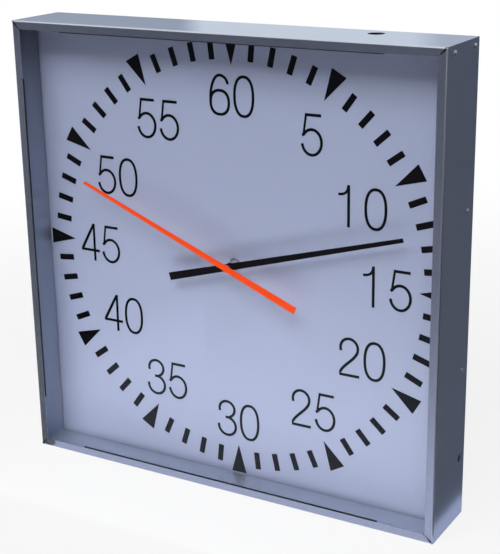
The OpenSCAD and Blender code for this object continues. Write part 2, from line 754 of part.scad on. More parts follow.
module centre_bush() {
    color([0.78, 0.70, 0.45]) on_dial() difference() {
        union() {
            translate([0, 0, bush_back]) cylinder(r = bush_r, h = bush_front - bush_back);
            translate([0, 0, bush_back]) cylinder(r = bush_r + bush_flange_w, h = bush_flange_t);
        }
        translate([0, 0, bush_back - 1]) cylinder(r = bush_in, h = bush_front - bush_back + 2);
    }
}
module bush_washer() {
    color([0.75, 0.76, 0.78]) on_dial() ring(washer_r, bush_r + slack, washer_t);
}
// Conical nut: a short collar, a cone up to the pipe and a threaded bore as far as the bush
module bush_nut() {
    thread_r = bush_r + hub_play;
    mouth_r = pipe_r + 0.3;
    color([0.78, 0.78, 0.76]) on_dial() rotate_extrude() polygon([[thread_r, washer_t],
        [nut_r, washer_t], [nut_r, washer_t + nut_base], [collar_r, nut_front],
        [mouth_r, nut_front], [mouth_r, bush_front], [thread_r, bush_front]]);
}
// Shaft between two depths at a place on the movement
module shaft(at, r, back, front) {
    translate([at[0], at[1], back]) cylinder(r = r, h = front - back);
}
module second_arbor() {
    color([0.72, 0.73, 0.75]) on_dial()
        shaft([0, 0], arbor_r, back_plate_back, second_z - arbor_short);
}
module second_pinion() {
    color([0.80, 0.66, 0.32]) on_dial() translate([0, 0, third_wheel_z - 1])
        gear(pinion_teeth, third_module, wheel_t + 1.6, arbor_r + hub_play, 0);
}
module second_wheel() {
    color([0.80, 0.66, 0.32]) on_dial() translate([0, 0, second_wheel_z])
        train_wheel(second_teeth, second_module, arbor_r + hub_play, 0);
}
module second_hub() {
    color([0.96, 0.30, 0.08]) on_dial() translate([0, 0, second_hub_back]) difference() {
        union() {
            cylinder(r = hub_r - hub_rim, h = second_z - second_hub_back);
            translate([0, 0, second_z - second_hub_back - hub_rim]) cylinder(r = hub_r, h = hub_rim);
        }
        translate([0, 0, -1])
            cylinder(r = arbor_r + hub_play, h = second_z - second_hub_back + 1 - arbor_short / 2);
    }
}
// Tapered blade pointing up, square at its tail
module blade(reach, tail, tip_w, tail_w) {
    polygon([[-tail_w / 2, -tail], [tail_w / 2, -tail], [tip_w / 2, reach], [-tip_w / 2, reach]]);
}
module second_hand() {
    color([0.96, 0.30, 0.08]) on_dial() rotate([0, 0, -second_angle])
        translate([0, 0, second_z]) linear_extrude(hand_t) {
            blade(second_reach - second_tip_w / 2, second_tail, second_tip_w, second_tail_w);
            translate([0, second_reach - second_tip_w / 2]) circle(r = second_tip_w / 2);
            circle(r = hub_r);
        }
}
module minute_pipe() {
    color([0.78, 0.70, 0.45]) on_dial() difference() {
        shaft([0, 0], pipe_r, pipe_back, minute_z + hand_t + 0.6);
        translate([0, 0, pipe_back - 1]) cylinder(r = arbor_r + run_play, h = minute_z - pipe_back + 5);
    }
}
module minute_wheel() {
    color([0.80, 0.66, 0.32]) on_dial() translate([0, 0, minute_wheel_z])
        train_wheel(minute_teeth, minute_module, pipe_r + hub_play, minute_wheel_angle);
}
module minute_hub() {
    color([0.05, 0.05, 0.06]) on_dial() translate([0, 0, minute_hub_back]) difference() {
        union() {
            cylinder(r = hub_r, h = minute_z - minute_hub_back);
            cylinder(r = collar_r, h = minute_z - minute_hub_back + hand_t + 0.4);
        }
        translate([0, 0, -1]) cylinder(r = pipe_r + hub_play, h = minute_z - minute_hub_back + 4);
    }
}
module minute_hand() {
    color([0.04, 0.04, 0.05]) on_dial() rotate([0, 0, -minute_angle])
        translate([0, 0, minute_z]) linear_extrude(hand_t) difference() {
            union() {
                blade(minute_reach, minute_tail, minute_tip_w, minute_tail_w);
                circle(r = hub_r);
            }
            circle(r = collar_r + hub_play);
        }
}
module small_arbor(at) {
    color([0.72, 0.73, 0.75]) on_dial()
        shaft(at, small_arbor_r, back_plate_back, front_plate_z);
}
module third_arbor() {
    small_arbor(third_at);
}
module third_wheel() {
    color([0.80, 0.66, 0.32]) on_dial() translate([third_at[0], third_at[1], third_wheel_z])
        train_wheel(third_teeth, third_module, small_arbor_r + hub_play, third_wheel_angle);
}
module third_pinion() {
    color([0.72, 0.73, 0.75]) on_dial() translate([third_at[0], third_at[1], minute_wheel_z - 1])
        gear(pinion_teeth, minute_module, wheel_t + 2, small_arbor_r + hub_play, 0);
}
module step_arbor() {
    small_arbor(step_at);
}
module step_wheel() {
    color([0.92, 0.92, 0.88]) on_dial() translate([step_at[0], step_at[1], step_wheel_z])
        gear(step_teeth, step_module, wheel_t, small_arbor_r + hub_play, 0);
}
module step_pinion() {
    color([0.92, 0.92, 0.88]) on_dial() translate([step_at[0], step_at[1], second_wheel_z - 0.8])
        gear(pinion_teeth, second_module, step_wheel_z - second_wheel_z + 0.8,
            small_arbor_r + hub_play, step_pinion_angle);
}
module rotor_arbor() {
    small_arbor(rotor_at);
}
module rotor_magnet() {
    color([0.30, 0.31, 0.33]) on_dial() translate([rotor_at[0], rotor_at[1], magnet_z])
        ring(magnet_r, small_arbor_r + hub_play, magnet_h);
}
module rotor_pinion() {
    color([0.92, 0.92, 0.88]) on_dial() translate([rotor_at[0], rotor_at[1], step_wheel_z - 0.8])
        gear(pinion_teeth, step_module, magnet_z - step_wheel_z + 0.8,
            small_arbor_r + hub_play, rotor_pinion_angle);
}
module stator() {
    color([0.55, 0.56, 0.58]) on_dial() difference() {
        block([stator_low[0], stator_low[1], stator_z],
            [stator_high[0], stator_high[1], stator_front]);
        block([stator_low[0] + coil_limb, stator_low[1] + coil_limb, stator_z - 1],
            [stator_high[0] - rotor_limb, stator_high[1] - coil_limb, stator_front + 1]);
        translate([rotor_at[0], rotor_at[1], stator_z - 1])
            cylinder(r = magnet_r + 0.4, h = stator_t + 2);
    }
}
// Two posts that carry the stator from the front plate
module stator_posts() {
    color([0.75, 0.76, 0.78]) on_dial() for (p = [[rotor_at[0], stator_high[1] - coil_limb / 2],
        [coil_x + stator_w / 2, stator_low[1] + coil_limb / 2]])
        shaft(p, 2.5, stator_front, front_plate_back);
}
module coil_bobbin() {
    bore = [coil_limb + 2 * slack, coil_l + 2, stator_t + 2 * slack];
    color([0.90, 0.88, 0.80]) on_dial()
        translate([coil_x, coil_y, stator_mid]) difference() {
            union() {
                rotate([90, 0, 0]) cylinder(r = core_r, h = coil_l, center = true);
                for (s = [-1, 1]) translate([0, s * (coil_l - flange_t) / 2, 0]) rotate([90, 0, 0])
                    cylinder(r = coil_r + 0.4, h = flange_t, center = true);
            }
            cube(bore, center = true);
        }
}
module coil_winding() {
    color([0.72, 0.40, 0.20]) on_dial()
        translate([coil_x, coil_y, stator_mid]) rotate([90, 0, 0])
            translate([0, 0, flange_t - coil_l / 2])
                ring(coil_r, core_r, coil_l - 2 * flange_t);
}
module setting_arbor() {
    color([0.72, 0.73, 0.75]) on_dial()
        shaft(setting_at, arbor_r, knob_front - knob_d + knob_floor, front_plate_z);
}
module setting_pinion() {
    color([0.92, 0.92, 0.88]) on_dial()
        translate([setting_at[0], setting_at[1], minute_wheel_z - 0.5])
            gear(setting_teeth, minute_module, wheel_t + 1, arbor_r + hub_play, setting_angle);
}
module setting_knob() {
    color([0.10, 0.10, 0.11]) on_dial()
        translate([setting_at[0], setting_at[1], knob_front - knob_d]) difference() {
            cylinder(r = knob_r, h = knob_d);
            translate([0, 0, knob_floor]) cylinder(r = arbor_r + hub_play, h = knob_d);
            for (i = [0:17]) rotate([0, 0, 20 * i]) translate([knob_r + 0.4, 0, -1])
                cylinder(r = 1.2, h = knob_d + 2);
        }
}
module control_board() {
    color([0.10, 0.38, 0.20]) on_dial() difference() {
        block([board_x - board_w / 2, movement_y - board_h / 2, board_back],
            [board_x + board_w / 2, movement_y + board_h / 2, board_z]);
        board_places() translate([0, 0, board_back - 1]) cylinder(r = screw_hole_r, h = board_t + 2);
    }
}
// Crystal can, timing chip and smoothing capacitor on the back of the board
module board_parts() {
    color([0.20, 0.21, 0.23]) on_dial() translate([board_x, movement_y, board_back]) {
        translate([4, 6, -2.2]) cube([12, 9, 2.2]);
        translate([-10, 8, -3]) cylinder(r = 2.6, h = 3);
        translate([-8, -8, -11]) cylinder(r = 5, h = 11);
        translate([8, -10, -1.4]) cube([8, 5, 1.4]);
    }
}
// Terminal block with three ways for the supply, open downwards
module terminal_block() {
    way = 10;
    color([0.88, 0.88, 0.84]) on_dial() translate([board_x, movement_y - board_h / 2 + 16, board_back])
        difference() {
            translate([-1.5 * way, -7, -14]) cube([3 * way, 14, 14]);
            for (i = [-1:1]) {
                translate([i * way, 0, -15]) cylinder(r = 2.6, h = 6);
                translate([i * way, 0, -5]) rotate([90, 0, 0]) cylinder(r = 2.4, h = 10);
            }
        }
}
module board_screws() {
    color([0.75, 0.76, 0.78]) on_dial() board_places() {
        translate([0, 0, board_back]) cylinder(r = long_screw_r, h = dial_back - board_back);
        translate([0, 0, board_back - 2]) cylinder(r = 2 * long_screw_r, h = 2);
    }
}
// A round wire through a list of points
module wire(points) {
    for (i = [0:len(points) - 2]) {
        run = points[i + 1] - points[i];
        translate(points[i]) rotate([0, acos(run[2] / norm(run)), atan2(run[1], run[0])])
            cylinder(r = lead_r, h = norm(run), $fn = 24);
        if (i > 0) translate(points[i]) sphere(r = lead_r, $fn = 24);
    }
}
// Two motor leads from the coil to the board, through the cover's side
module motor_leads() {
    color([0.70, 0.12, 0.10]) on_dial() for (i = [0, 1]) let (
        start = coil_x + lead_pitch * (0.5 - i),
        end = lead_end[0] + lead_pitch * i) wire([
        [start, coil_y + coil_l / 2, lead_z],
        [start, lead_y[i], lead_z],
        [end, lead_y[i], lead_z],
        [end, lead_end[1], lead_z],
        [end, lead_end[1], board_back]]);
}

case_top();
case_bottom();
case_left();
case_right();
corner_brackets();
back_panel();
top_screws();
back_screws();
window_pane();
window_seals();
reveal_top();
reveal_bottom();
reveal_left();
reveal_right();
dial_plate();
dial_rails();
second_marks();
five_second_marks();
dial_numerals();
stiffening_plate();
movement_spacers();
front_plate();
back_plate();
plate_pillars();
movement_screws();
movement_cover();
centre_bush();
bush_washer();
bush_nut();
second_arbor();
second_pinion();
second_wheel();
second_hub();
second_hand();
minute_pipe();
minute_wheel();
minute_hub();
minute_hand();
third_arbor();
third_wheel();
third_pinion();
step_arbor();
step_wheel();
step_pinion();
rotor_arbor();
rotor_magnet();
rotor_pinion();
stator();
stator_posts();
coil_bobbin();
coil_winding();
setting_arbor();
setting_pinion();
setting_knob();
control_board();
board_parts();
terminal_block();
board_screws();
motor_leads();
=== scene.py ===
import math

import bmesh
import bpy
from mathutils import Matrix, Vector


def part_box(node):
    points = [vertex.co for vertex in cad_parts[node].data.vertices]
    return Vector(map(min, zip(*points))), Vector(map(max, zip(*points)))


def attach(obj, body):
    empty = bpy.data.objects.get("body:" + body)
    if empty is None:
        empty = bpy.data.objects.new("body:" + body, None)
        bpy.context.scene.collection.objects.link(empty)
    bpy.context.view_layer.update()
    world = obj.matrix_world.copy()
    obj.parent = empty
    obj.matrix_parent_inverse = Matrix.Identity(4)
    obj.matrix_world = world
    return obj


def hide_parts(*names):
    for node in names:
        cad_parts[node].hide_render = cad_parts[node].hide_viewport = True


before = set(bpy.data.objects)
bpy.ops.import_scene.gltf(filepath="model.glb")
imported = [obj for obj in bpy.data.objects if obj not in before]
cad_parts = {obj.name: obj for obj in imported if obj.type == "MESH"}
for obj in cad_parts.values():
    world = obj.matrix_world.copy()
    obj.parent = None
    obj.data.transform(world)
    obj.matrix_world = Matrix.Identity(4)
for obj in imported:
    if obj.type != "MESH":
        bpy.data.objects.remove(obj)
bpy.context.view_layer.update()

# Places and sizes of the clock, in metres: x to the right, y towards the wall, z up
HALF = 0.300                                # half of the case, across and up
TOP = 2 * HALF
AXIS = Vector((0, 0.0005, 0.300))           # where the axis of the hands meets the dial
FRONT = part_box("case_top")[0].y             # front of the flanges
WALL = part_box("case_top")[1].y              # back of the case
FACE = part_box("dial_plate")[0].y            # front of the dial
SHEET, BEND, FLANGE = 0.0012, 0.0022, 0.011  # thickness, outside radius of a fold, width of a flange
FOLD = FRONT + BEND                         # where the flat of a side ends and its fold begins
BLADE = 0.001                               # thickness of the hands
SCREW_R, SHANK_R, PILOT_R = 0.003, 0.0015, 0.0016  # screw heads, shanks and the holes for them
TOP_SCREWS_Y = (FACE - 0.026, WALL - 0.012)
TOP_SCREWS_UP = 0.291                       # above the axis
BACK_SCREWS_Y = WALL - 0.018
BACK_SCREWS_UP = 0.1                        # above and below the axis
CONDUIT = (0.184, FACE + 0.0215, TOP)       # the round entry in the top
CONDUIT_R = 0.01025
LEAD_Y, LEAD_DOWN, LEAD_R = WALL - 0.014, 0.219, 0.005  # the lead entry in the right side
SWEEP_AT, MINUTE_AT = 292.2, 74.2           # where the hands stand, in degrees clockwise from 60

# Limits of shaping
NEAR = 0.00001                              # a corner this near a place counts as being there
SAME = 0.000002                             # corners this close are one
SLIVER = 0.00002                            # corners this close after cutting are one
CROSSING = 0.0003                           # corners this close where a boss crosses its blade are one
THROUGH = 0.01                              # a drill this long goes through any sheet
EDGE = 0.00022                              # rounding of a cut sheet edge


# The bench: selecting, putting down stock, shaping and cutting

def clear_bench():
    """Leaves edit mode with nothing selected."""
    if bpy.context.mode != "OBJECT":
        bpy.ops.object.mode_set(mode="OBJECT")
    bpy.ops.object.select_all(action="DESELECT")


def take(*pieces):
    """Selects these pieces, the first of them active."""
    clear_bench()
    for piece in pieces:
        piece.select_set(True)
    bpy.context.view_layer.objects.active = pieces[0]


def open_up(piece):
    """Opens a piece for shaping with all of it selected."""
    take(piece)
    bpy.ops.object.mode_set(mode="EDIT")
    bpy.ops.mesh.select_all(action="SELECT")


def settle(piece):
    """Puts a piece's place, turn and size into its mesh."""
    take(piece)
    bpy.ops.object.transform_apply(location=True, rotation=True, scale=True)


def stock(name, kind, at=(0, 0, 0), spread=(1, 1, 1), turn=(0, 0, 0), **shape):
    """Puts down the stock that a piece is made from and opens it for shaping."""
    clear_bench()
    getattr(bpy.ops.mesh, "primitive_%s_add" % kind)(location=at, rotation=turn, **shape)
    piece = bpy.context.object
    piece.name = piece.data.name = name
    piece.scale = spread
    settle(piece)
    open_up(piece)
    return piece


def pick(kind, test):
    """Selects the faces, edges or corners whose middle and direction pass the test."""
    bpy.ops.mesh.select_mode(type=kind)
    bpy.ops.mesh.select_all(action="DESELECT")
    mesh = bpy.context.object.data
    cage = bmesh.from_edit_mesh(mesh)
    for part in {"FACE": cage.faces, "EDGE": cage.edges, "VERT": cage.verts}[kind]:
        corners = [part.co] if kind == "VERT" else [v.co for v in part.verts]
        middle = sum(corners, Vector()) / len(corners)
        way = (corners[1] - corners[0]).normalized() if kind == "EDGE" else part.normal
        if test(middle, way):
            part.select_set(True)
    cage.select_flush_mode()
    bmesh.update_edit_mesh(mesh)


def pull(y=0, z=0):
    """Extrudes what is selected by this much."""
    bpy.ops.mesh.extrude_region_move(TRANSFORM_OT_translate={"value": (0, y, z)})


def taper(share, about=(0, 0, 0)):
    """Resizes what is selected about a point, across and along but not up."""
    bpy.ops.transform.resize(value=(share, share, 1), center_override=about)


def face_out():
    """Merges doubled corners and turns every face outwards."""
    bpy.ops.mesh.select_all(action="SELECT")
    bpy.ops.mesh.remove_doubles(threshold=SAME)
    bpy.ops.mesh.normals_make_consistent(inside=False)


def work(piece, kind, **settings):
    """Gives a piece one modifier and applies it."""
    take(piece)
    bpy.ops.object.modifier_add(type=kind)
    modifier = piece.modifiers[-1]
    for name, value in settings.items():
        setattr(modifier, name, value)
    bpy.ops.object.modifier_apply(modifier=modifier.name)


def cut(piece, *tools):
    """Takes the tools' shapes out of a piece."""
    for tool in tools:
        clear_bench()
        work(piece, "BOOLEAN", operation="DIFFERENCE", solver="EXACT", use_self=True, object=tool)
        bpy.data.objects.remove(tool)


def drill(at, radius, length, along, vertices):
    """A round cutter through a point, along x, y or z."""
    turn = {"x": (0, math.pi / 2, 0), "y": (math.pi / 2, 0, 0), "z": (0, 0, 0)}[along]
    return stock("drill", "cylinder", at, turn=turn, vertices=vertices, radius=radius, depth=length)


def ease(piece, width, segments=2, smooth=40):
    """Clears the slivers that cutting leaves, rounds the sharp edges and smooths how the rounds look."""
    open_up(piece)
    bpy.ops.mesh.remove_doubles(threshold=SLIVER)
    bpy.ops.mesh.dissolve_limited(angle_limit=math.radians(0.5))
    work(piece, "BEVEL", width=width, segments=segments, limit_method="ANGLE",
         angle_limit=math.radians(smooth), miter_outer="MITER_ARC")
    bpy.ops.object.shade_smooth_by_angle(angle=math.radians(smooth))
    work(piece, "WEIGHTED_NORMAL", keep_sharp=True)


def swing(piece, degrees):
    """Turns a piece about the axis of the hands, anticlockwise for the viewer."""
    turn = Matrix.Rotation(math.radians(-degrees), 4, "Y")
    piece.matrix_world = Matrix.Translation(AXIS) @ turn @ Matrix.Translation(-AXIS) @ piece.matrix_world
    settle(piece)


def twin(piece, name):
    """A copy of a piece with its own mesh."""
    copy = piece.copy()
    copy.data = piece.data.copy()
    copy.name = copy.data.name = name
    bpy.context.scene.collection.objects.link(copy)
    return copy


def weld(name, *pieces):
    """Joins pieces into one."""
    take(*pieces)
    bpy.ops.object.join()
    pieces[0].name = pieces[0].data.name = name
    return pieces[0]


def fit(piece, body, slot, finish, *nodes):
    """Hangs a finished piece on its body, in place of the CAD nodes that it stands for."""
    piece.data.materials.clear()
    piece.data.materials.append(finish)
    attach(piece, body)
    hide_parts(*nodes)


# Finishes: nodes written as sums

def srgb(red, green, blue):
    """A colour as it is seen, from 0 to 255, as the shader's linear colour."""
    share = [v / 255 for v in (red, green, blue)]
    return (*[v / 12.92 if v <= 0.04045 else ((v + 0.055) / 1.055) ** 2.4 for v in share], 1.0)


class Wire:
    """One socket of a finish. Sums on wires add their Math nodes."""

    def __init__(self, finish, socket):
        self.finish, self.socket = finish, socket

    def sum(self, operation, *values):
        """A Math node on these values."""
        return self.finish.add("Math", {"operation": operation}, *values)

    def __add__(self, other):
        return self.sum("ADD", self, other)

    def __sub__(self, other):
        return self.sum("SUBTRACT", self, other)

    def __rsub__(self, other):
        return self.sum("SUBTRACT", other, self)

    def __mul__(self, other):
        return self.sum("MULTIPLY", self, other)

    def __truediv__(self, other):
        return self.sum("DIVIDE", self, other)

    __radd__, __rmul__ = __add__, __mul__

    def out(self, name):
        """Another output of the same node."""
        return Wire(self.finish, self.socket.node.outputs[name])


class Finish:
    """A finish being mixed, on a material or a world."""

    def __init__(self, owner):
        self.owner = owner
        owner.use_nodes = True
        self.tree = owner.node_tree
        self.tree.nodes.clear()

    def add(self, kind, settings=None, *values, **named):
        """Adds a node: its settings first, then the values or wires of its sockets."""
        node = self.tree.nodes.new("ShaderNode" + kind)
        for name, value in (settings or {}).items():
            if name == "stops":
                ramp = node.color_ramp.elements
                while len(ramp) < len(value):
                    ramp.new(0.5)
                for stop, (place, colour) in zip(ramp, value):
                    stop.position, stop.color = place, colour
            else:
                setattr(node, name, value)
        open_sockets = [s for s in node.inputs if s.enabled]
        pairs = list(zip(open_sockets, values))
        for name, value in named.items():
            pairs.append((next(s for s in open_sockets if s.name == name.replace("_", " ")), value))
        for socket, value in pairs:
            if isinstance(value, Wire):
                self.tree.links.new(value.socket, socket)
            else:
                socket.default_value = value
        return Wire(self, next((s for s in node.outputs if s.enabled), None))

    def place(self):
        """Where a point lies, in metres."""
        return self.add("TexCoord").out("Object")

    def seen(self):
        """1 where the camera looks straight, by a mirror or through the window, 0 for light on things."""
        ray = self.add("LightPath")
        straight = ray.sum("MAXIMUM", ray.out("Is Camera Ray"), ray.out("Is Glossy Ray"))
        return ray.sum("MAXIMUM", straight, ray.out("Is Transmission Ray"))

    def grain(self, place, scale, detail=2.0, roughness=0.5):
        """Noise from 0 to 1, at about this many grains to the metre."""
        return self.add("TexNoise", {}, Vector=place, Scale=scale, Detail=detail, Roughness=roughness)

    def between(self, factor, low, high):
        """The colour between two colours."""
        return self.add("Mix", {"data_type": "RGBA"}, factor, low, high)

    def step(self, value, low, high):
        """0 below low, 1 above high, smooth between."""
        return self.add("MapRange", {"interpolation_type": "SMOOTHSTEP"}, value, low, high, 0.0, 1.0)

    def bump(self, height, distance, strength):
        """A relief for the light, of this height in metres."""
        return self.add("Bump", {}, Strength=strength, Distance=distance, Height=height)

    def surface(self, **sockets):
        """Ends the finish in one Principled shader."""
        shader = self.add("BsdfPrincipled", {}, **sockets)
        self.add("OutputMaterial", {}, shader)
        return self.owner


def new_finish(name):
    """An empty material to mix a finish on."""
    return Finish(bpy.data.materials.new(name))


def case_paint():
    """Silver-grey enamel with fine metal flake, rubbed at the folds, dull inside and dusty in the joints.

    It also carries painted light: a paler band along every fold crest is a painted highlight, the upright
    walls inside are painted darker towards the top as shade, and the bottom wall inside is painted paler
    as if lit from above.
    """
    paint = new_finish("case_paint")
    place = paint.place()
    axes = paint.add("SeparateXYZ", {}, place)
    x, y, z = (axes.out(name) for name in "XYZ")
    across = x.sum("ABSOLUTE", x)
    up = x.sum("ABSOLUTE", z - AXIS.z)
    reach = x.sum("MAXIMUM", across, up)
    clouds = paint.grain(place, 7.0, 3.0, 0.55)
    patches = paint.grain(place, 55.0, 4.0, 0.65)
    peel = paint.grain(place, 300.0)
    flake = paint.add("TexVoronoi", {}, Vector=place, Scale=1500.0)

    # Masks: crests of the folds, for a painted highlight and rubbed wear, dust in the mitres, the walls
    # inside, and all of those but the bottom one
    from_crest = (HALF - reach) + (y - FRONT)
    crest = 1 - paint.step(from_crest, 0.0006, 0.0030)
    rubbed = crest * paint.step(patches, 0.50, 0.66)
    mitre = 1 - paint.step(x.sum("ABSOLUTE", across - up), 0.0006, 0.0045)
    joint = mitre * (1 - paint.step(y, FRONT + 0.0015, FRONT + 0.0060))
    dirt = joint * paint.step(paint.grain(place, 140.0, 3.0), 0.38, 0.62)
    inside = 1 - paint.step(reach, HALF - 0.0038, HALF - 0.0034)
    recess = paint.step(y, FRONT + 0.0030, FRONT + 0.0034) * inside
    upright = paint.step(z, 0.0047, 0.0080)
    # Painted shade for the upright walls inside: some everywhere and most towards the top, where the top
    # flange shades them
    shade = paint.step(z, 0.33, 0.62) * 0.5 + 0.2

    tone = (clouds - 0.5) * 0.35 + (patches - 0.5) * 0.16 + 0.5
    colour = paint.between(tone, srgb(168, 177, 192), srgb(190, 199, 213))
    sparkle = paint.step(flake.out("Color"), 0.1, 1.0)
    colour = paint.between(sparkle * 0.08, colour, srgb(214, 223, 238))
    # Painted shade: the upright walls inside darkened, most towards the top
    colour = paint.between(recess * upright * shade, colour, srgb(60, 62, 74))
    # Painted light: the bottom wall inside is made paler, as if lit from above
    colour = paint.between(recess * (1 - upright) * 0.4, colour, srgb(226, 230, 238))
    # A painted highlight: paler all along the fold crests, with rubbed wear in patches on top
    colour = paint.between(crest * 0.5 + rubbed * 0.2, colour, srgb(224, 229, 236))
    colour = paint.between(dirt * 0.55, colour, srgb(84, 84, 86))
    uneven = (clouds - 0.5) * 0.06 + (patches - 0.5) * 0.04
    return paint.surface(
        Base_Color=colour, Metallic=0.88 - recess * 0.10, Specular_Tint=(0.76, 0.84, 0.95, 1),
        Roughness=uneven + dirt * 0.25 - rubbed * 0.02 + recess * 0.22 + 0.23,
        Normal=paint.bump(peel, 0.00003, 0.3), Coat_Weight=0.15, Coat_Roughness=0.18)


def sheet_finish(name, low, high, roughness):
    """Zinc-coated sheet: fine rolling lines under a mottled bloom."""
    steel = new_finish(name)
    place = steel.place()
    drawn = steel.add("Mapping", {}, place, Scale=(30.0, 900.0, 900.0))
    lines = steel.grain(drawn, 1.0, 3.0, 0.6)
    bloom = steel.add("TexVoronoi", {"distance": "EUCLIDEAN"}, Vector=place, Scale=160.0)
    tone = (lines - 0.5) * 0.5 + bloom.out("Distance") * 0.25 + 0.4
    return steel.surface(
        Base_Color=steel.between(tone, low, high), Metallic=0.85,
        Roughness=(lines - 0.5) * 0.2 + bloom.out("Distance") * 0.08 + roughness,
        Normal=steel.bump(lines, 0.00004, 0.4))


def turned_finish(name, low, high, roughness, scale=2200.0, metallic=1.0):
    """Turned or stamped metal with fine tool marks round its pieces."""
    metal = new_finish(name)
    place = metal.place()
    marks = metal.grain(place, scale, 2.0)
    stain = metal.grain(place, 90.0, 4.0, 0.6)
    tone = (marks - 0.5) * 0.4 + (stain - 0.5) * 0.7 + 0.5
    return metal.surface(
        Base_Color=metal.between(tone, low, high), Metallic=metallic,
        Roughness=(marks - 0.5) * 0.12 + (stain - 0.5) * 0.16 + roughness,
        Normal=metal.bump(marks, 0.00002, 0.5))


def dial_paint():
    """Smooth lilac-grey enamel on the dial, with a faint cloudiness."""
    paint = new_finish("dial_paint")
    place = paint.place()
    clouds = paint.grain(place, 5.0, 3.0, 0.5)
    peel = paint.grain(place, 700.0, 2.0)
    specks = paint.step(paint.grain(place, 900.0, 1.0), 0.72, 0.78)
    colour = paint.between((clouds - 0.5) * 0.5 + 0.5, srgb(174, 180, 206), srgb(182, 188, 214))
    colour = paint.between(specks * 0.25, colour, srgb(150, 152, 170))
    return paint.surface(
        Base_Color=colour, Roughness=(clouds - 0.5) * 0.1 + (peel - 0.5) * 0.06 + 0.42,
        Normal=paint.bump(peel, 0.00004, 0.35))


def dial_print():
    """Screen-printed black ink with a fine mesh grain."""
    ink = new_finish("dial_print")
    place = ink.place()
    mesh = ink.grain(place, 1500.0, 2.0)
    worn = ink.grain(place, 60.0, 3.0)
    tone = (mesh - 0.5) * 0.6 + worn * 0.4
    return ink.surface(
        Base_Color=ink.between(tone, srgb(1, 1, 2), srgb(6, 6, 8)), Specular_IOR_Level=0.05,
        Roughness=(mesh - 0.5) * 0.2 + 0.5, Normal=ink.bump(mesh, 0.00002, 0.4))


def orange_paint():
    """Fluorescent orange paint on the sweep hand, with the back of its hub dark. Its emission is a painted
    glow.
    """
    paint = new_finish("orange_paint")
    place = paint.place()
    clouds = paint.grain(place, 45.0, 3.0)
    peel = paint.grain(place, 900.0, 2.0)
    glow = paint.between((clouds - 0.5) * 0.8 + 0.5, srgb(255, 68, 5), srgb(255, 84, 10))
    # The hub is dark behind the blade
    depth = paint.add("SeparateXYZ", {}, place).out("Y")
    glow = paint.between(paint.step(depth, FACE - 0.0219, FACE - 0.0210), glow, srgb(20, 14, 13))
    # The emission is a painted glow that stands in for the paint's fluorescence and shows even where no
    # light falls
    return paint.surface(
        Base_Color=glow, Emission_Color=glow, Emission_Strength=0.10, Specular_IOR_Level=0.1,
        Roughness=(peel - 0.5) * 0.2 + 0.6, Normal=paint.bump(peel, 0.00004, 0.4))


def black_paint():
    """Satin black paint on the minute hand."""
    paint = new_finish("black_paint")
    place = paint.place()
    peel = paint.grain(place, 900.0, 2.0)
    dust = paint.step(paint.grain(place, 400.0, 3.0), 0.6, 0.75)
    return paint.surface(
        Base_Color=paint.between(dust * 0.5, srgb(2, 2, 3), srgb(12, 12, 15)), Specular_IOR_Level=0.05,
        Roughness=(peel - 0.5) * 0.25 + dust * 0.2 + 0.4, Normal=paint.bump(peel, 0.00004, 0.4))


def plastic(name, low, high, roughness, scale=1200.0):
    """Moulded plastic with a fine spark-eroded grain."""
    part = new_finish(name)
    place = part.place()
    texture = part.grain(place, scale, 3.0)
    flow = part.grain(place, 60.0, 3.0)
    tone = (texture - 0.5) * 0.5 + (flow - 0.5) * 0.6 + 0.5
    return part.surface(
        Base_Color=part.between(tone, low, high),
        Roughness=(texture - 0.5) * 0.25 + roughness, Normal=part.bump(texture, 0.00005, 0.5))


def seal_rubber():
    """Matt black foam strip with open pores."""
    rubber = new_finish("black_rubber")
    place = rubber.place()
    pores = rubber.add("TexVoronoi", {}, Vector=place, Scale=1700.0).out("Distance")
    dust = rubber.grain(place, 300.0, 3.0)
    return rubber.surface(
        Base_Color=rubber.between(dust * 0.8, srgb(12, 12, 14), srgb(40, 40, 46)),
        Roughness=pores * 0.2 + 0.72, Normal=rubber.bump(pores, 0.0001, 0.6))


def clear_window():
    """Clear sheet: it mirrors at a slant, lets the rest through and holds a little dust."""
    pane = new_finish("clear_window")
    place = pane.place()
    wipe = pane.grain(pane.add("Mapping", {}, place, Scale=(3.0, 3.0, 9.0)), 2.0, 4.0, 0.6)
    slant = pane.add("LayerWeight", {}, Blend=0.5).out("Facing")
    shine = pane.add("BsdfGlossy", {}, Color=(1, 1, 1, 1), Roughness=wipe * 0.03 + 0.015)
    through = pane.add("BsdfTransparent", {}, Color=(0.975, 0.985, 0.995, 1))
    share = slant.sum("POWER", slant, 5.0) * 0.9 + wipe * 0.008 + 0.018
    pane.add("OutputMaterial", {}, pane.add("MixShader", {}, share, through, shine))
    return pane.owner


def coil_copper():
    """Enamelled winding: turns of fine wire side by side."""
    wire = new_finish("copper_wire")
    place = wire.place()
    turns = wire.add("TexWave", {"wave_type": "BANDS", "bands_direction": "Z", "wave_profile": "SIN"},
                     Vector=place, Scale=1250.0, Distortion=0.4, Detail=1.0)
    tint = wire.grain(place, 200.0, 3.0)
    tone = turns * 0.6 + tint * 0.4
    return wire.surface(
        Base_Color=wire.between(tone, srgb(120, 58, 28), srgb(214, 124, 72)), Metallic=0.9,
        Roughness=(tint - 0.5) * 0.2 + 0.34, Normal=wire.bump(turns, 0.00008, 0.8))


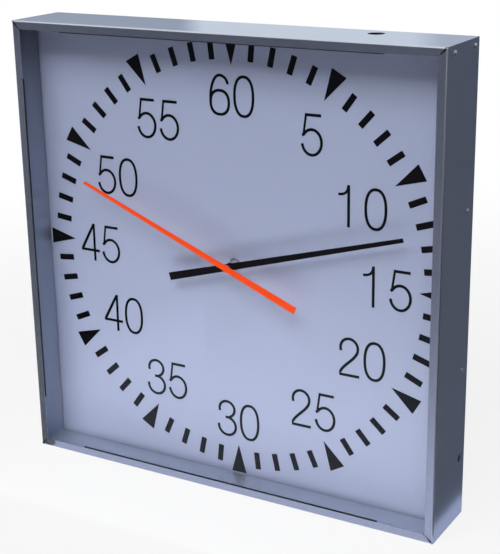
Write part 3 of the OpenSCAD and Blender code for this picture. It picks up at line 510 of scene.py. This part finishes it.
def circuit_board():
    """Green lacquered board with tracks, pads and a weave under the lacquer."""
    board = new_finish("green_board")
    place = board.place()
    laid = board.add("Mapping", {}, place, Rotation=(math.pi / 2, 0, 0))
    tracks = board.add("TexBrick", {"offset": 0.37, "squash": 1.0}, Vector=laid,
                       Color1=(0, 0, 0, 1), Color2=(0.35, 0.35, 0.35, 1), Mortar=(1, 1, 1, 1),
                       Scale=70.0, Mortar_Size=0.035, Brick_Width=0.9, Row_Height=0.42)
    weave = board.add("TexWave", {"bands_direction": "X"}, Vector=place, Scale=900.0)
    track = board.step(tracks, 0.5, 0.8)
    return board.surface(
        Base_Color=board.between(track * 0.75, srgb(18, 92, 46), srgb(58, 142, 78)),
        Roughness=weave * 0.06 + track * 0.06 + 0.26, Normal=board.bump(weave * 0.2 + track, 0.00004, 0.6))


# Metals and plastics: the darker and the lighter colour, the roughness, then the scale of the marks and
# how metallic it is where that differs from the usual
case = case_paint()
plain_steel = sheet_finish("plain_steel", srgb(150, 153, 160), srgb(196, 199, 205), 0.38)
screw_steel = turned_finish("bright_screws", srgb(186, 187, 192), srgb(232, 233, 237), 0.36)
arbor_steel = turned_finish("bright_steel", srgb(178, 180, 184), srgb(216, 218, 222), 0.22)
brass = turned_finish("movement_brass", srgb(186, 142, 72), srgb(226, 190, 112), 0.30, 1500.0)
nickel = turned_finish("nickel", srgb(196, 190, 188), srgb(232, 226, 222), 0.20)
ferrite = turned_finish("rotor_magnet", srgb(66, 67, 70), srgb(100, 101, 106), 0.55, 900.0, 0.4)
white_plastic = plastic("white_plastic", srgb(222, 221, 208), srgb(238, 238, 228), 0.46)
black_plastic = plastic("black_plastic", srgb(30, 30, 33), srgb(48, 48, 52), 0.44)
red_insulation = plastic("red_insulation", srgb(168, 20, 18), srgb(196, 36, 30), 0.40, 700.0)
dial_enamel, ink, orange, black = dial_paint(), dial_print(), orange_paint(), black_paint()
rubber, clear, copper, board_green = seal_rubber(), clear_window(), coil_copper(), circuit_board()


# The case: four folded sides, the back, their screws and the entries

def folded_side(name, turn, gaps, trimmed, cutters):
    """A sheet folded over at the front and mitred at both ends, then turned to its side.

    Gaps are how far each mitre stands open at the bend. A trimmed side ends inside the top and bottom.
    """
    # The grid ends a strip behind the fold. Where a mitre stands open, the strip is trimmed with the fold
    strip = FOLD + 0.0015
    side = stock(name + "_sheet", "grid", (0, (strip + WALL) / 2, TOP), (HALF, (WALL - strip) / 2, 1),
                 x_subdivisions=6, y_subdivisions=2, size=2)
    pick("EDGE", lambda m, way: m.y < strip + NEAR and abs(way.x) > 0.9)
    pull(y=FOLD - strip)
    bpy.ops.mesh.spin(steps=8, angle=math.pi / 2, center=(0, FOLD, TOP - BEND), axis=(-1, 0, 0))
    pull(z=BEND - FLANGE)
    for s, gap in zip((-1, 1), gaps):
        deep = strip if gap > 0.001 else FOLD
        pick("FACE", lambda m, way: m.y < deep and s * m.x > 0)
        bpy.ops.mesh.bisect(plane_co=(s * (HALF - FLANGE), 0, TOP - FLANGE),
                            plane_no=(s * FLANGE, 0, gap - FLANGE), clear_outer=True)
        if trimmed:
            pick("FACE", lambda m, way: m.y > FOLD + NEAR and s * m.x > 0)
            bpy.ops.mesh.bisect(plane_co=(s * (HALF - SHEET), 0, 0), plane_no=(s, 0, 0), clear_outer=True)
    face_out()
    work(side, "SOLIDIFY", thickness=SHEET, offset=-1, use_even_offset=True)
    cut(side, *cutters)
    swing(side, turn)
    ease(side, EDGE)
    return side


def top_tabs():
    """The four tabs folded down inside the top's ends, each with rounded lower corners."""
    drop = 0.0192
    for s in (-1, 1):
        for y, wide in zip(TOP_SCREWS_Y, (0.020, 0.0212)):
            at = (s * (HALF - 1.5 * SHEET), y, TOP - drop / 2)
            tab = stock("tab", "cube", at, (SHEET, wide, drop), size=1)
            pick("EDGE", lambda m, way: abs(way.x) > 0.9 and m.z < TOP - 0.015)
            bpy.ops.mesh.bevel(offset=0.004, segments=4)
            yield tab


def side_holes(s):
    """Cutters for the holes of one side as it lies on top: s is 1 for the right side, -1 for the left."""
    places = [(-s * TOP_SCREWS_UP, y) for y in TOP_SCREWS_Y]
    places += [(way * BACK_SCREWS_UP, BACK_SCREWS_Y) for way in (-1, 1)]
    tools = [drill((x, y, TOP), PILOT_R, THROUGH, "z", 20) for x, y in places]
    if s > 0:
        entry = (LEAD_DOWN, LEAD_Y, TOP)
        tools.append(drill(entry, LEAD_R, THROUGH, "z", 32))
        tools.append(stock("sink", "cone", entry, vertices=32, radius1=LEAD_R, radius2=0.007, depth=0.0016))
    return tools


# Holes are cut while a side still lies on top, so that the upper screws of the sides sit at its ends
top = folded_side("case_top", 0, (0.0014, 0.0048), False, [drill(CONDUIT, CONDUIT_R, THROUGH, "z", 48)])
fit(weld("case_top_sheet", top, *top_tabs()), "case", "case_paint", case, "case_top")
bottom = folded_side("case_bottom", 180, (0.0006, 0.0001), False, [])
fit(bottom, "case", "case_paint", case, "case_bottom")
left = folded_side("case_left", 90, (0, 0), True, side_holes(-1))
fit(left, "case", "case_paint", case, "case_left")
right = folded_side("case_right", -90, (0, 0), True, side_holes(1))
fit(right, "case", "case_paint", case, "case_right")


def back_tray():
    """The back panel: a plate with rims turned forward between its corners, wall holes and a knob hole."""
    edge = HALF - SHEET - 0.0002
    bare = 0.045        # from a corner to where its rims begin
    wall_hole, wall_hole_r = 0.25, 0.0035
    knob_down, knob_hole_r = 0.03, 0.016
    tray = stock("back_tray", "plane", (0, WALL, HALF), (edge, edge, 1), (-math.pi / 2, 0, 0), size=2)
    for normal in ((1, 0, 0), (0, 0, 1)):
        for s in (-1, 1):
            bpy.ops.mesh.select_all(action="SELECT")
            bpy.ops.mesh.bisect(plane_co=AXIS + s * (edge - bare) * Vector(normal), plane_no=normal)
    for side, along, deep in ((0, 2, 0.0252), (2, 0, 0.0122)):
        pick("EDGE", lambda m, way: abs((m - AXIS)[side]) > edge - NEAR and abs((m - AXIS)[along]) < 0.1)
        pull(y=-deep)
    bpy.ops.mesh.select_all(action="SELECT")
    bpy.ops.mesh.remove_doubles(threshold=SAME)
    work(tray, "SOLIDIFY", thickness=SHEET, offset=-1, use_even_offset=True)
    corners = [(sx * wall_hole, WALL, HALF + sz * wall_hole) for sx in (-1, 1) for sz in (-1, 1)]
    holes = [drill(corner, wall_hole_r, THROUGH, "y", 32) for corner in corners]
    holes.append(drill((0, WALL, HALF - knob_down), knob_hole_r, THROUGH, "y", 64))
    holes.append(drill((HALF - 0.002, LEAD_Y, HALF - LEAD_DOWN), LEAD_R, THROUGH, "x", 32))
    cut(tray, *holes)
    ease(tray, EDGE)
    return tray


fit(back_tray(), "case", "plain_steel", plain_steel, "back_panel")


# A screw head from its rim up: each ring's share of the one below and how far it rises
DOME = ((0.95, 0.00016), (0.877, 0.00033), (0.80, 0.00036), (0.70, 0.00029), (0.57, 0.00018), (0.4, 0.00006))


def pan_screw():
    """A pan head screw on the face at z = 0: a rounded head over a short shank, with a cross recess."""
    rim, shank = 0.0004, 0.0032
    screw = stock("screw", "circle", vertices=32, radius=SCREW_R, fill_type="NGON")
    pull(z=rim)
    for share, rise in DOME:
        pull(z=rise)
        taper(share)
    pick("FACE", lambda m, way: way.z < -0.9 and abs(m.z) < NEAR)
    bpy.ops.mesh.inset(thickness=SCREW_R - SHANK_R)
    pull(z=-shank)
    face_out()
    slots = []
    for quarter in (0, math.pi / 2):
        slot = stock("slot", "cube", (0, 0, 0.0016), (0.0030, 0.0006, 0.0018), (0, 0, quarter), size=1)
        pick("FACE", lambda m, way: way.z < -0.9)
        taper(0.55, (0, 0, 0.0007))
        slots.append(slot)
    cut(screw, *slots)
    ease(screw, 0.00008, smooth=50)
    return screw


def screws(pattern, name, places, node):
    """Copies of the screw on the two sides of the case, each turned a little differently."""
    made = []
    for i, (s, y, z) in enumerate(places):
        screw = twin(pattern, "%s_%d" % (name, i + 1))
        screw.matrix_world = (Matrix.Translation((s * HALF, y, z)) @ Matrix.Rotation(s * math.pi / 2, 4, "Y")
                              @ Matrix.Rotation(0.35 + 1.1 * i, 4, "Z"))
        settle(screw)
        made.append(screw)
    fit(weld(name, *made), "case", "bright_screws", screw_steel, node)


pattern = pan_screw()
high_places = [(s, y, HALF + TOP_SCREWS_UP) for s in (-1, 1) for y in TOP_SCREWS_Y]
back_places = [(s, BACK_SCREWS_Y, HALF + way * BACK_SCREWS_UP) for s in (-1, 1) for way in (-1, 1)]
screws(pattern, "top_pan_screws", high_places, "top_screws")
screws(pattern, "back_pan_screws", back_places, "back_screws")
bpy.data.objects.remove(pattern)


# The window, its seals and the reveal round the dial

def window():
    """The clear sheet with softly rounded edges."""
    low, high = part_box("window_pane")
    pane = stock("clear_pane", "plane", (0, low.y, HALF), (high.x, high.x, 1), (math.pi / 2, 0, 0), size=2)
    pull(y=high.y - low.y)
    face_out()
    ease(pane, 0.0005, 3)
    return pane


def seal_strips():
    """Strips with rounded edges behind the flanges. All but the right one show a little inside."""
    low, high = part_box("window_seals")
    half_length = 0.225
    strips = []
    for k, wide in enumerate((0.0094, 0.0094, 0.0094, 0.0078)):
        strip = stock("strip_%d" % k, "grid", (0, low.y, high.z - wide / 2), (half_length, wide / 2, 1),
                      (math.pi / 2, 0, 0), x_subdivisions=30, y_subdivisions=2, size=2)
        pull(y=high.y - low.y)
        face_out()
        ease(strip, 0.0003, 3)
        swing(strip, 90 * k)
        strips.append(strip)
    return weld("seal_strips", *strips)


def reveal(name, turn, length):
    """A wall sheet from just clear of the dial to the window, its lip folded outwards behind the window."""
    inner, lip, thick = 0.5955, 0.0031, 0.001
    front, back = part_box("window_pane")[1].y, FACE - 0.0025
    wall = stock(name + "_sheet", "grid", (0, (back + front) / 2, inner), (length, (back - front) / 2, 1),
                 (math.pi, 0, 0), x_subdivisions=10, y_subdivisions=2, size=2)
    pick("EDGE", lambda m, way: m.y < front + NEAR and abs(way.x) > 0.9)
    pull(z=lip)
    work(wall, "SOLIDIFY", thickness=thick, offset=-1, use_even_offset=True)
    swing(wall, turn)
    ease(wall, 0.00018)
    return wall


fit(window(), "case", "clear_window", clear, "window_pane")
fit(seal_strips(), "case", "black_rubber", rubber, "window_seals")
for name, turn, length in (("reveal_top", 0, 0.2965), ("reveal_left", 90, 0.2953),
                           ("reveal_bottom", 180, 0.2965), ("reveal_right", -90, 0.2953)):
    fit(reveal(name, turn, length), "case", "case_paint", case, name)


# The hands, their hubs and the nut on the bush

def hand(name, reach, tail, tip_w, tail_w, stand_off, hub_r, round_tip):
    """A tapered blade with a round boss at the axis, its back standing this far ahead of the dial."""
    front = FACE - stand_off - BLADE
    blade = stock(name, "grid", (0, front, HALF + (reach - tail) / 2), (0.5, (reach + tail) / 2, 1),
                  (math.pi / 2, 0, 0), x_subdivisions=1, y_subdivisions=8, size=2)
    mesh = bmesh.from_edit_mesh(blade.data)
    for corner in mesh.verts:
        share = (corner.co.z - HALF + tail) / (reach + tail)
        corner.co.x = math.copysign((tail_w + (tip_w - tail_w) * share) / 2, corner.co.x)
    bmesh.update_edit_mesh(blade.data)
    if round_tip:
        pick("VERT", lambda m, way: m.z > HALF + reach - NEAR)
        bpy.ops.mesh.bevel(offset=tip_w * 0.48, segments=6, affect="VERTICES")
    bpy.ops.mesh.select_all(action="SELECT")
    pull(y=BLADE)
    face_out()
    boss = stock("boss", "circle", (0, front, HALF), turn=(math.pi / 2, 0, 0), vertices=48, radius=hub_r,
                 fill_type="NGON")
    pull(y=BLADE)
    face_out()
    work(blade, "BOOLEAN", operation="UNION", solver="EXACT", object=boss)
    bpy.data.objects.remove(boss)
    open_up(blade)
    bpy.ops.mesh.remove_doubles(threshold=CROSSING)
    return blade


sweep = hand("sweep_blade", reach=0.2350, tail=0.107, tip_w=0.0042, tail_w=0.0098, stand_off=0.0225,
             hub_r=0.0050, round_tip=True)
ease(sweep, 0.00015)
swing(sweep, -SWEEP_AT)
fit(sweep, "second", "orange_paint", orange, "second_hand")
long_hand = hand("minute_blade", reach=0.2480, tail=0.095, tip_w=0.0052, tail_w=0.0104, stand_off=0.014,
                 hub_r=0.0049, round_tip=False)
cut(long_hand, drill((0, FACE - 0.0145, HALF), 0.00357, THROUGH, "y", 40))
ease(long_hand, 0.00015)
swing(long_hand, -MINUTE_AT)
fit(long_hand, "minute", "black_paint", black, "minute_hand")


def turned(name, *profile):
    """Turns a closed profile round the axis. Its points are a radius and a distance ahead of the dial."""
    piece = stock(name, "circle", vertices=3, radius=0.001)
    bpy.ops.mesh.delete(type="VERT")
    clear_bench()
    corners = [(r, FACE - ahead, HALF) for r, ahead in profile]
    piece.data.from_pydata(corners, [(i, (i + 1) % len(corners)) for i in range(len(corners))], [])
    open_up(piece)
    bpy.ops.mesh.spin(steps=48, angle=2 * math.pi, center=AXIS, axis=(0, 1, 0))
    face_out()
    return piece


nut = turned("cone_nut", (0.00397, 0.0008), (0.0064, 0.0008), (0.0064, 0.0038), (0.00355, 0.0110),
             (0.00285, 0.0110), (0.00285, 0.0085), (0.00397, 0.0085))
ease(nut, 0.0002, smooth=30)
fit(nut, "case", "nickel", nickel, "bush_nut")
washer = turned("dial_washer", (0.00415, 0.0), (0.0080, 0.0), (0.0080, 0.0005), (0.0077, 0.0008),
                (0.00415, 0.0008))
ease(washer, 0.0001, smooth=30)
fit(washer, "case", "bright_steel", arbor_steel, "bush_washer")
collar = turned("sweep_collar", (0.00152, 0.0179), (0.0040, 0.0179), (0.0042, 0.0181), (0.0042, 0.0213),
                (0.0050, 0.0214), (0.0050, 0.0225), (0.00152, 0.0225))
ease(collar, 0.0001, smooth=30)
fit(collar, "second", "orange_paint", orange, "second_hub")


def setting_knob():
    """A knob with 18 flutes for setting the minute hand, reached through the back."""
    low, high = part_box("setting_knob")
    middle = (low + high) / 2
    flute_r, flute_out = 0.0012, 0.0124
    bore_r, bore = 0.00152, 0.0056
    knob = stock("fluted_knob", "cylinder", middle, turn=(math.pi / 2, 0, 0), vertices=72, radius=0.012,
                 depth=high.y - low.y, end_fill_type="NGON")
    pick("FACE", lambda m, way: way.y > 0.9)
    bpy.ops.mesh.inset(thickness=0.002)
    bpy.ops.mesh.inset(thickness=0.0008)
    bpy.ops.transform.translate(value=(0, -0.0008, 0))
    face_out()
    flutes = []
    for i in range(18):
        angle = math.radians(20 * i)
        at = (middle.x + flute_out * math.sin(angle), middle.y, middle.z + flute_out * math.cos(angle))
        flutes.append(drill(at, flute_r, 0.012, "y", 16))
    cut(knob, weld("flutes", *flutes))
    cut(knob, drill((middle.x, low.y + 0.0027, middle.z), bore_r, bore, "y", 32))
    ease(knob, 0.0003, smooth=35)
    return knob


fit(setting_knob(), "setting", "black_plastic", black_plastic, "setting_knob")

# The CAD's own pieces that stay, each in its finish
dress = {
    plain_steel: ["corner_brackets", "dial_rails", "stiffening_plate"],
    dial_enamel: ["dial_plate"],
    ink: ["second_marks", "five_second_marks", "dial_numerals"],
    brass: ["front_plate", "back_plate", "centre_bush", "minute_pipe", "second_pinion", "second_wheel",
            "minute_wheel", "third_wheel"],
    arbor_steel: ["movement_spacers", "plate_pillars", "movement_screws", "second_arbor", "third_arbor",
                  "third_pinion", "step_arbor", "rotor_arbor", "stator", "stator_posts", "setting_arbor",
                  "board_screws"],
    black: ["minute_hub"],
    white_plastic: ["step_wheel", "step_pinion", "rotor_pinion", "coil_bobbin", "setting_pinion",
                    "terminal_block"],
    black_plastic: ["movement_cover", "board_parts"],
    ferrite: ["rotor_magnet"],
    copper: ["coil_winding"],
    board_green: ["control_board"],
    red_insulation: ["motor_leads"],
}
for finish, nodes in dress.items():
    for node in nodes:
        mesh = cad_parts[node].data
        mesh.materials.clear()
        mesh.materials.append(finish)


# The studio: a pale floor, cards for the paint to mirror, soft lamps, a white surround and the camera

def floor():
    """A pale table top, near white for the camera but still holding the clock's shadow."""
    table = stock("floor", "plane", (0, 0, -0.0002), (6, 6, 1), size=2)
    clear_bench()
    top = new_finish("floor")
    place = top.place()
    far = top.step(top.add("VectorMath", {"operation": "LENGTH"}, place), 0.5, 1.8)
    mottle = top.grain(place, 3.0, 3.0)
    lit = top.add("BsdfDiffuse", {}, Color=top.between(mottle, srgb(228, 229, 232), srgb(236, 237, 240)))
    white = top.add("Emission", {}, Color=(1, 1, 1, 1), Strength=1.0)
    top.add("OutputMaterial", {}, top.add("MixShader", {}, top.seen() * (far * 0.14 + 0.86), lit, white))
    table.data.materials.append(top.owner)
    return table


def card(name, at, turn, wide, high, along, *stops):
    """A card seen only in the paint and the window.

    Each stop is a place along the card, its tone there and how solid it is there.
    """
    piece = stock(name, "plane", at, (wide / 2, high / 2, 1), turn, size=2)
    clear_bench()
    felt = new_finish(name)
    start, length = stops[0][0], stops[-1][0] - stops[0][0]
    ramp = [((place - start) / length, (*srgb(*rgb)[:3], solid)) for place, rgb, solid in stops]
    share = (felt.add("SeparateXYZ", {}, felt.place()).out(along) - start) / length
    tone = felt.add("ValToRGB", {"stops": ramp}, share)
    bare = felt.add("BsdfTransparent")
    lit = felt.add("Emission", {}, Color=tone, Strength=1.0)
    felt.add("OutputMaterial", {}, felt.add("MixShader", {}, tone.out("Alpha"), bare, lit))
    piece.data.materials.append(felt.owner)
    piece.visible_camera = piece.visible_diffuse = piece.visible_shadow = False


def lamp(name, at, towards, wide, high, watts):
    """A soft lamp that isn't mirrored itself."""
    light = bpy.data.lights.new(name, "AREA")
    light.shape, light.size, light.size_y, light.energy = "RECTANGLE", wide, high, watts
    holder = bpy.data.objects.new(name, light)
    holder.location = at
    holder.rotation_euler = (Vector(towards) - Vector(at)).to_track_quat("-Z", "Y").to_euler()
    holder.visible_camera = holder.visible_glossy = False
    bpy.context.scene.collection.objects.link(holder)


floor()

# Cloths lie just over the floor and cards stand up
standing = math.pi / 2
card("cloth_near", (0.0, 0.0, 0.0004), (0, 0, 0), 3.0, 6.0, "Y",
     (-0.80, (116, 118, 134), 1), (-0.50, (154, 157, 174), 1), (-0.22, (190, 193, 216), 1),
     (-0.10, (202, 204, 227), 1), (0.05, (204, 206, 229), 1))
card("card_edge", (-0.2782, -0.25, 0.07), (standing, 0, math.pi / 2), 0.4, 0.14, "Z",
     (0.0, (188, 192, 216), 1), (0.07, (188, 192, 216), 1), (0.14, (150, 152, 170), 0))
card("cloth_left", (-1.881, -1.9, 0.0008), (0, 0, 0), 3.2, 3.8, "X",
     (-0.30, (72, 72, 78), 1), (-0.284, (72, 72, 78), 1), (-0.280, (72, 72, 78), 0))
card("cloth_right", (2.81, 4.0, 0.0010), (0, 0, 0), 5.0, 13.0, "X",
     (0.3165, (92, 95, 106), 0), (0.3185, (92, 95, 106), 1), (0.40, (99, 101, 110), 1))
card("cloth_side", (1.34, 0.21, 0.0014), (0, 0, math.radians(61)), 1.4, 1.1, "X",
     (0.4, (12, 12, 14), 1), (2.2, (12, 12, 14), 1))
card("card_low", (-1.378, -0.159, 0.25), (standing, 0, math.radians(-32)), 1.8, 0.5, "Z",
     (0.0, (90, 88, 98), 1), (0.15, (74, 74, 86), 1), (0.26, (100, 98, 111), 1), (0.5, (106, 104, 117), 1))
card("card_front", (-0.45, -0.75, 0.5), (standing, 0, math.radians(-32)), 5.0, 1.0, "Z",
     (0.0, (114, 112, 124), 1), (0.15, (98, 97, 110), 1), (0.29, (86, 86, 99), 1),
     (0.43, (74, 76, 90), 1), (0.55, (60, 63, 80), 1), (0.75, (60, 63, 80), 1), (1.0, (60, 63, 80), 0))
card("card_right", (3.4, 6.0, 2.0), (standing, 0, math.pi / 2), 16.0, 4.0, "Z",
     (0.0, (99, 101, 110), 1), (3.4, (99, 101, 110), 1), (4.0, (99, 101, 110), 0))
card("card_behind", (-0.2, 0.16, 0.66), (standing, 0, 0), 2.0, 0.12, "X",
     (-1.2, (188, 192, 200), 1), (-0.175, (188, 192, 200), 1), (-0.140, (188, 192, 200), 0),
     (0.17, (216, 216, 222), 0), (0.21, (216, 216, 222), 1))
lamp("front_high", (0.0, -1.6, 2.3), (0, 0, HALF), 2.4, 1.2, 54)
lamp("table_near", (0.0, -0.20, 0.004), (0, 0, HALF), 1.0, 0.2, 2)

surround = Finish(bpy.data.worlds.new("surround"))
bpy.context.scene.world = surround.owner
rise = surround.add("SeparateXYZ", {}, surround.add("TexCoord").out("Generated")).out("Z")
sky = surround.between(surround.step(rise, -0.2, 0.9), (0.16, 0.165, 0.18, 1), (0.60, 0.62, 0.68, 1))
dome = surround.add("Background", {}, Color=sky, Strength=0.12)
white = surround.add("Background", {}, Color=(1, 1, 1, 1), Strength=1.0)
surround.add("OutputWorld", {}, surround.add("MixShader", {}, surround.seen(), dome, white))

# The camera as fitted to the dial's marks and the corners of the case: its place, then its own directions
stand = Vector((0.8208, -1.3613, 0.8044))
right = Vector((0.86510, 0.50133, -0.01642))
up = Vector((-0.14298, 0.27783, 0.94993))
ahead = Vector((-0.48079, 0.81944, -0.31203))
lens = bpy.data.cameras.new("camera")
lens.lens, lens.sensor_width = 84.61, 36.0
lens.clip_start, lens.clip_end = 0.05, 60.0
camera = bpy.data.objects.new("camera", lens)
camera.matrix_world = Matrix.Translation(stand) @ Matrix((right, up, -ahead)).transposed().to_4x4()
bpy.context.scene.collection.objects.link(camera)
bpy.context.scene.camera = camera
bpy.context.scene.view_settings.view_transform = "Standard"

clear_bench()
